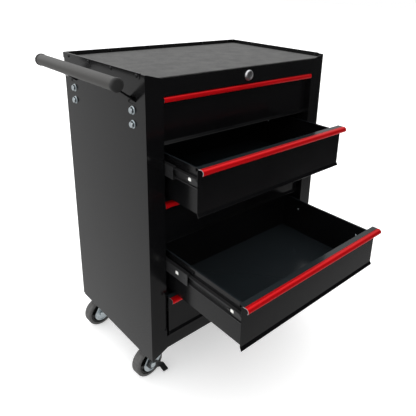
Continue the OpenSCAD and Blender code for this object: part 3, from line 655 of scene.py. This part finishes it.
bolt_low, bolt_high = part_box("handle_bolts")
arm_low, arm_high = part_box("handle_arms")
side_x = left_wall.x
flange_r = 8.5 * mm
flange = [(0, 0), (flange_r, 0), (flange_r, 0.6 * mm), (flange_r - 1.5 * mm, 1.5 * mm), (0, 1.7 * mm)]
half_arm = 12.5 * mm
arm_y = (arm_low.y + half_arm, arm_high.y - half_arm)
bolt_z = (bolt_high.z - flange_r, bolt_low.z + flange_r)
grip = 4 * mm  # through the panel and the arm
mesh = bmesh.new()
for y in arm_y:
    for z in bolt_z:
        out = aim((side_x, y, z), (-1, 0, 0))
        turned(mesh, out, flange)
        hex_head(mesh, out @ Matrix.Translation((0, 0, 1.2 * mm)), 12 * mm, 4.6 * mm)
        inside = aim((side_x, y, z), (1, 0, 0))
        threaded(mesh, inside, 8 * mm, 0.2 * mm, grip + 10 * mm, 1.25 * mm)
        nut = inside @ Matrix.Translation((0, 0, grip))
        hex_head(mesh, nut, 12.6 * mm, 6.5 * mm, bore=3.9 * mm)
bolts = make_piece("handle_bolt_set", mesh, [zinc_plate], "chest")
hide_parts("handle_bolts")

# ---- lock -----------------------------------------------------------------------------
# A cam lock in the fascia: a turned and plated barrel with a nut behind, and a plug that
# the key turns. A rod takes the turn to the back, where a crank lifts the lock bar.

# Chromium over a blasted nickel ground: bright silver, hazed enough to catch light from
# every side.
chromium, chrome, place = start_material("satin_chromium_plate", Metallic=1.0)
haze = add_node(chromium, "ShaderNodeTexNoise", {"Scale": 1 / (5 * mm), "Detail": 4.0}, {"Vector": place})
mirror = add_node(chromium, "ShaderNodeMapRange", {"To Min": 0.24, "To Max": 0.46},
                  {"Value": haze.outputs["Fac"]})
plate_tone = add_node(chromium, "ShaderNodeValToRGB", {}, {"Fac": haze.outputs["Fac"]},
                      stops=((0, "#cfd1d3"), (1, "#e6e7e8")))
join(chromium, mirror.outputs["Result"], chrome, "Roughness")
join(chromium, plate_tone.outputs["Color"], chrome, "Base Color")

plug_low, plug_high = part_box("lock_plug")
lock_z = (plug_low.z + plug_high.z) / 2
bezel_r = 12 * mm
barrel_r = 9 * mm
barrel_l = 22 * mm
nose = front_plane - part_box("lock_housing")[0].y
plug_bore = 6.55 * mm
mesh = bmesh.new()
out = aim((0, front_plane, lock_z), (0, -1, 0))
turned(mesh, out, [(barrel_r, 0), (bezel_r - 0.4 * mm, 0), (bezel_r, 0.4 * mm),
                   (bezel_r, nose - 3.2 * mm), (bezel_r - 0.6 * mm, nose - 1.9 * mm),
                   (bezel_r - 1.7 * mm, nose - 0.8 * mm), (bezel_r - 3 * mm, nose - 0.15 * mm),
                   (bezel_r - 4 * mm, nose), (plug_bore + 0.55 * mm, nose),
                   (plug_bore, nose - 1.6 * mm), (plug_bore, -barrel_l), (barrel_r, -barrel_l)],
       closed=True, steps=72)
nut = aim((0, front_plane + 1 * mm, lock_z), (0, 1, 0))
hex_head(mesh, nut, 22.5 * mm, 4 * mm, bore=barrel_r + 0.05 * mm)
housing = make_piece("lock_barrel", mesh, [chromium], "chest")
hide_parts("lock_housing")
coat_node("lock_plug", chromium, 0.25 * mm)
coat_node("lock_rod", zinc_plate, 0.3 * mm)
coat_node("lock_bar", zinc_plate, 0.3 * mm)
coat_node("lock_guides", zinc_plate, 0.25 * mm)

# ---- casters --------------------------------------------------------------------------
# Four swivel casters with 75 mm wheels: a pressed and zinc-plated plate and fork, a
# moulded hub, a rubber tread, and an axle bolt. The front two have a side brake lever.

coat_node("caster_plates", zinc_plate, 0.35 * mm)
caster_plate = 2.5 * mm
plate_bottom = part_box("base_pan")[0].z - caster_plate
joints = {joint["name"]: joint for joint in frame["joints"]}
corners = ("front_left", "front_right", "rear_left", "rear_right")
grip = caster_plate + 1 * mm
mesh = bmesh.new()
for corner in corners:
    king = Vector(joints[f"swivel_{corner}"]["pos_m"])
    for sx in (-25 * mm, 25 * mm):
        for sy in (-17 * mm, 17 * mm):
            at = (king.x + sx, king.y + sy, plate_bottom)
            hex_head(mesh, aim(at, (0, 0, -1)), 9.5 * mm, 3 * mm)
            up = aim(at, (0, 0, 1))
            threaded(mesh, up, 6 * mm, 0.2 * mm, 10.5 * mm, 1 * mm)
            nut = up @ Matrix.Translation((0, 0, grip))
            hex_head(mesh, nut, 9.9 * mm, 5 * mm, bore=2.9 * mm)
caster_bolts = make_piece("caster_bolt_set", mesh, [zinc_plate], "chest")
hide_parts("caster_bolts")

# Moulded polypropylene hub: glossier than the caps, black, with shallow flow marks.
hub_plastic, hub_skin, place = start_material("gloss_black_hub_moulding", IOR=1.49)
knit = add_node(hub_plastic, "ShaderNodeTexNoise", {"Scale": 1 / (8 * mm), "Detail": 4.0},
                {"Vector": place})
pitch_black = add_node(hub_plastic, "ShaderNodeValToRGB", {}, {"Fac": knit.outputs["Fac"]},
                       stops=((0, "#0c0c0c"), (1, "#181818")))
mould_gloss = add_node(hub_plastic, "ShaderNodeMapRange", {"To Min": 0.2, "To Max": 0.36},
                       {"Value": knit.outputs["Fac"]})
join(hub_plastic, pitch_black.outputs["Color"], hub_skin, "Base Color")
join(hub_plastic, mould_gloss.outputs["Result"], hub_skin, "Roughness")

# Vulcanised rubber: dull dark grey with a dusty bloom, and rolling scuffs round it.
tread_rubber, rubber, place = start_material("vulcanised_grey_rubber", IOR=1.52, Roughness=0.62)
bloom = add_node(tread_rubber, "ShaderNodeTexNoise", {"Scale": 1 / (6 * mm), "Detail": 5.0},
                 {"Vector": place})
dusty = add_node(tread_rubber, "ShaderNodeValToRGB", {}, {"Fac": bloom.outputs["Fac"]},
                 stops=((0.3, "#434343"), (0.75, "#5c5b5a")))
scuff = add_node(tread_rubber, "ShaderNodeTexNoise", {"Scale": 1 / (0.9 * mm), "Detail": 2.0},
                 {"Vector": place})
scuffed = add_node(tread_rubber, "ShaderNodeBump", {"Strength": 0.25, "Distance": 0.08 * mm},
                   {"Height": scuff.outputs["Fac"]})
join(tread_rubber, dusty.outputs["Color"], rubber, "Base Color")
join(tread_rubber, scuffed.outputs["Normal"], rubber, "Normal")


def leg_outline(inset, reach, crown_z, axle_z):
    """A fork leg seen from its side: a wide crown that narrows to a round lobe."""
    lobe = 21 * mm
    top = crown_z - inset
    points = [(-23 * mm + inset, top), (19 * mm - inset, top), (17 * mm - inset, top - 14 * mm + inset)]
    points += arc(-reach, axle_z, lobe - inset, -20, -190, 26)
    return points


# Inset and height of a leg's section, from its inner face out to the dish inside its rim.
leg_section = ((0.4 * mm, 0), (0, 0.5 * mm), (0, 1.7 * mm), (0.7 * mm, 2.2 * mm), (2.6 * mm, 2.1 * mm),
               (4.2 * mm, 1.1 * mm))
leg_face = 14.5 * mm
crown_t = 3 * mm
crown_half = 19 * mm
crown_span = 16.5 * mm
race_outline = [(6.2 * mm, -3.6 * mm), (17 * mm, -4.4 * mm), (21 * mm, -3.4 * mm), (23 * mm, -2 * mm),
                (23 * mm, -0.6 * mm), (22.4 * mm, 0), (20 * mm, 0), (18.5 * mm, -0.8 * mm),
                (16 * mm, -0.8 * mm), (14.5 * mm, 0), (6.2 * mm, 0)]

# Half of the hub's section, from its boss over the sunk web to the seat of the tread.
web_side = [(11 * mm, 13.4 * mm), (11.5 * mm, 5 * mm), (13 * mm, 4.4 * mm), (23 * mm, 4.4 * mm),
            (24.6 * mm, 5.4 * mm), (25.4 * mm, 9 * mm), (26 * mm, 9.5 * mm), (29.5 * mm, 9.5 * mm)]
hub_outline = [(5 * mm, 13.5 * mm), (10.6 * mm, 13.5 * mm)] + web_side
hub_outline += [(r, -h) for r, h in reversed(hub_outline)]
hub_outline += [(4.1 * mm, -13 * mm), (4.1 * mm, 13 * mm)]
rib_t = 2 * mm

# The tread's section: round shoulders, and a fine parting groove round its middle.
tread_r = 37.5 * mm
tread_half = 12.5 * mm
shoulder_r = 4 * mm
seat = [(30.4 * mm, tread_half), (29.8 * mm, tread_half - 0.6 * mm), (29.5 * mm, 9.6 * mm)]
tread_outline = [(r, -h) for r, h in reversed(seat)]
tread_outline += arc(tread_r - shoulder_r, shoulder_r - tread_half, shoulder_r, -90, 0, 8)
tread_outline += [(tread_r, -0.5 * mm), (tread_r - 0.35 * mm, -0.3 * mm),
                  (tread_r - 0.35 * mm, 0.3 * mm), (tread_r, 0.5 * mm)]
tread_outline += arc(tread_r - shoulder_r, tread_half - shoulder_r, shoulder_r, 0, 90, 8) + seat

fork_outside = 16.7 * mm
lever_room = 2.9 * mm
for corner in corners:
    king = Vector(joints[f"swivel_{corner}"]["pos_m"])
    wheel_joint = joints[f"wheel_{corner}"]
    axle = Vector(wheel_joint["pos_m"])
    across = Vector(wheel_joint["axis"])
    forward = across.cross(Vector((0, 0, 1)))
    crown_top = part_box(f"fork_{corner}")[1].z
    reach = (Vector((king.x, king.y, 0)) - Vector((axle.x, axle.y, 0))).length

    def leg_pose(offset, sideways):
        """X runs forward from the swivel axis, Y up, Z outwards across the fork."""
        columns = Matrix((forward, (0, 0, 1), across * sideways)).transposed().to_4x4()
        return Matrix.Translation(Vector((king.x, king.y, 0)) + across * sideways * offset) @ columns

    # fork: two pressed legs with a raised rim round each lobe, a crown, and the ball race
    mesh = bmesh.new()
    for sideways in (-1, 1):
        pose = leg_pose(leg_face, sideways)
        rings = []
        for inset, height in leg_section:
            points = leg_outline(inset, reach, crown_top, axle.z)
            rings.append([mesh.verts.new(pose @ Vector((x, y, height))) for x, y in points])
        skin_rings(mesh, rings)
        mesh.faces.new(rings[0])
        mesh.faces.new(rings[-1])
    bridge = [(-crown_half, crown_top - crown_t), (crown_half, crown_top - crown_t),
              (crown_half, crown_top), (-crown_half, crown_top)]
    pulled_shape(mesh, leg_pose(-crown_span, 1), bridge, 2 * crown_span)
    turned(mesh, aim((king.x, king.y, crown_top), (0, 0, 1)), race_outline, closed=True, steps=56)
    fork = make_piece(f"caster_fork_{corner}", mesh, [zinc_plate], f"swivel_{corner}",
                      edge=0.25 * mm)
    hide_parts(f"fork_{corner}")

    # wheel: hub with six ribs on each side of its web, and the tread round it
    hub_pose = aim(axle, across)
    mesh = bmesh.new()
    turned(mesh, hub_pose, hub_outline, closed=True, steps=72)
    rib_pose = Matrix(((1, 0, 0, 0), (0, 0, 1, -rib_t / 2), (0, 1, 0, 0), (0, 0, 0, 1)))
    for i in range(6):
        spoke = hub_pose @ Matrix.Rotation(i * math.pi / 3, 4, "Z")
        for sideways in (-1, 1):
            rib = [(10.8 * mm, 4 * mm * sideways), (25 * mm, 4 * mm * sideways),
                   (25 * mm, 8 * mm * sideways), (10.8 * mm, 8.8 * mm * sideways)]
            pulled_shape(mesh, spoke @ rib_pose, rib, rib_t)
    hub = make_piece(f"wheel_hub_{corner}", mesh, [hub_plastic], f"wheel_{corner}")
    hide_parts(f"hub_{corner}")
    mesh = bmesh.new()
    turned(mesh, hub_pose, tread_outline, closed=True, steps=96)
    tyre = make_piece(f"wheel_tread_{corner}", mesh, [tread_rubber], f"wheel_{corner}")
    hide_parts(f"tyre_{corner}")

    # axle: M8 hexagon bolt from the outer side, over the brake lever in front, and a lock nut
    braked = corner.startswith("front")
    near = fork_outside + (lever_room if braked else 0)
    far = near + fork_outside
    mesh = bmesh.new()
    out = aim(axle - across * near, -across)
    hex_head(mesh, out, 13 * mm, 5 * mm)
    turned(mesh, out, [(0, -0.1 * mm), (4 * mm, -0.1 * mm), (4 * mm, -far), (0, -far)], steps=24)
    inside = aim(axle + across * fork_outside, across)
    threaded(mesh, inside, 8 * mm, 0, 8 * mm, 1.25 * mm)
    hex_head(mesh, inside, 13 * mm, 6 * mm, bore=3.9 * mm)
    bolt = make_piece(f"wheel_bolt_{corner}", mesh, [zinc_plate], f"swivel_{corner}")
    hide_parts(f"axle_{corner}")
    if braked:
        coat_node(f"brake_{corner}", electrocoat, 0.5 * mm)

# ---- floor, light and camera ----------------------------------------------------------
# A plain pale floor under an overhead silk, which lights it evenly, and a weak softbox at
# the left. A dark card and a black flag in front are seen by the gloss alone.

# Painted studio floor: almost white, dull, with a barely seen roller texture of 12 mm.
studio_paint, studio, place = start_material("white_studio_paint", Roughness=0.8,
                                              Emission_Color=colour("#ffffff"),
                                              Emission_Strength=0.42)
roller = add_node(studio_paint, "ShaderNodeTexNoise", {"Scale": 1 / (12 * mm)}, {"Vector": place})
off_white = add_node(studio_paint, "ShaderNodeValToRGB", {}, {"Fac": roller.outputs["Fac"]},
                     stops=((0, "#f4f4f4"), (1, "#f8f8f8")))
join(studio_paint, off_white.outputs["Color"], studio, "Base Color")
bpy.ops.mesh.primitive_plane_add(size=40, location=(0, 0, 0))
floor = bpy.context.object
floor.name = "studio_floor"
floor.data.materials.append(studio_paint)
floor.visible_glossy = False

# The air is an even pale grey to light by, and pure white where the camera looks at it.
world = bpy.data.worlds.new("studio_air")
bpy.context.scene.world = world
world.use_nodes = True
air = world.node_tree.nodes["Background"]
air.inputs["Color"].default_value = colour("#ffffff")
air.inputs["Strength"].default_value = 0.62
seen = world.node_tree.nodes.new("ShaderNodeBackground")
seen.inputs["Color"].default_value = colour("#ffffff")
seen.inputs["Strength"].default_value = 1.0
path = world.node_tree.nodes.new("ShaderNodeLightPath")
choose = world.node_tree.nodes.new("ShaderNodeMixShader")
world.node_tree.links.new(path.outputs["Is Camera Ray"], choose.inputs["Fac"])
world.node_tree.links.new(air.outputs["Background"], choose.inputs[1])
world.node_tree.links.new(seen.outputs["Background"], choose.inputs[2])
world.node_tree.links.new(choose.outputs["Shader"], world.node_tree.nodes["World Output"].inputs["Surface"])

sky = bpy.data.lights.new("overhead_silk", "SUN")
sky.energy = 1.9
sky.angle = math.radians(130)
overhead = bpy.data.objects.new("overhead_silk", sky)
overhead.rotation_euler = (math.radians(-12), math.radians(-14), 0)
bpy.context.scene.collection.objects.link(overhead)

box_light = bpy.data.lights.new("left_softbox", "AREA")
box_light.size = 1.6
box_light.energy = 6
softbox = bpy.data.objects.new("left_softbox", box_light)
softbox_place = Vector((-2.6, -0.6, 1.6))
facing_chest = (Vector((0, 0, 0.4)) - softbox_place).to_track_quat("-Z", "Y").to_matrix().to_4x4()
softbox.matrix_world = Matrix.Translation(softbox_place) @ facing_chest
bpy.context.scene.collection.objects.link(softbox)


def only_for_gloss(name, item, material):
    """Makes a stage item that the camera, the soft light and the shadows pass through."""
    item.name = name
    item.data.materials.append(material)
    item.visible_camera = False
    item.visible_diffuse = False
    item.visible_shadow = False


# A matt card lies on the floor in front: pale grey near the chest and black further out, so
# the upper fronts stay black and the lower ones turn grey.
card_paint, card_skin, place = start_material("matt_card_grey_to_black", Roughness=1.0)
away = add_node(card_paint, "ShaderNodeSeparateXYZ", {}, {"Vector": place})
fade = add_node(card_paint, "ShaderNodeMapRange", {"From Min": 3.2, "From Max": 4.0},
                {"Value": away.outputs["Y"]})
shade = add_node(card_paint, "ShaderNodeValToRGB", {}, {"Fac": fade.outputs["Result"]},
                 stops=((0, "#020202"), (1, "#bcbcbc")))
join(card_paint, shade.outputs["Color"], card_skin, "Base Color")
bpy.ops.mesh.primitive_plane_add(size=8, location=(2.0, -4.25, 0.003))
only_for_gloss("front_card", bpy.context.object, card_paint)

# A black flag stands beyond that card, and keeps the pulls and the feet of the drawer fronts
# dark.
flag_paint, flag_skin, place = start_material("black_flag_cloth", Roughness=1.0)
nap = add_node(flag_paint, "ShaderNodeTexNoise", {"Scale": 1 / (30 * mm)}, {"Vector": place})
cloth = add_node(flag_paint, "ShaderNodeValToRGB", {}, {"Fac": nap.outputs["Fac"]},
                 stops=((0, "#020202"), (1, "#0a0a0a")))
join(flag_paint, cloth.outputs["Color"], flag_skin, "Base Color")
bpy.ops.mesh.primitive_plane_add(size=1, location=(5.5, -6.0, 3.0),
                                 rotation=(math.radians(90), 0, math.radians(42)))
bpy.context.object.scale = (12, 6, 1)
only_for_gloss("front_flag", bpy.context.object, flag_paint)

# The camera stands in front of the left corner, a little above the top.
camera_data = bpy.data.cameras.new("camera")
camera = bpy.data.objects.new("camera", camera_data)
bpy.context.scene.collection.objects.link(camera)
yaw, pitch, roll = (math.radians(v) for v in (43.31, 19.74, 1.97))
ahead = Vector((math.sin(yaw) * math.cos(pitch), math.cos(yaw) * math.cos(pitch), -math.sin(pitch)))
level = Vector((math.cos(yaw), -math.sin(yaw), 0))
upright = level.cross(ahead)
right = level * math.cos(roll) + upright * math.sin(roll)
up = upright * math.cos(roll) - level * math.sin(roll)
axes = Matrix((right, up, -ahead)).transposed().to_4x4()
camera.matrix_world = Matrix.Translation((-0.7221, -0.8764, 0.9083)) @ axes
camera_data.lens = 40.38
camera_data.sensor_width = 36
camera_data.shift_x = -0.0487
camera_data.shift_y = -0.1393
camera_data.clip_end = 60
bpy.context.scene.camera = camera
bpy.context.scene.view_settings.view_transform = "Standard"
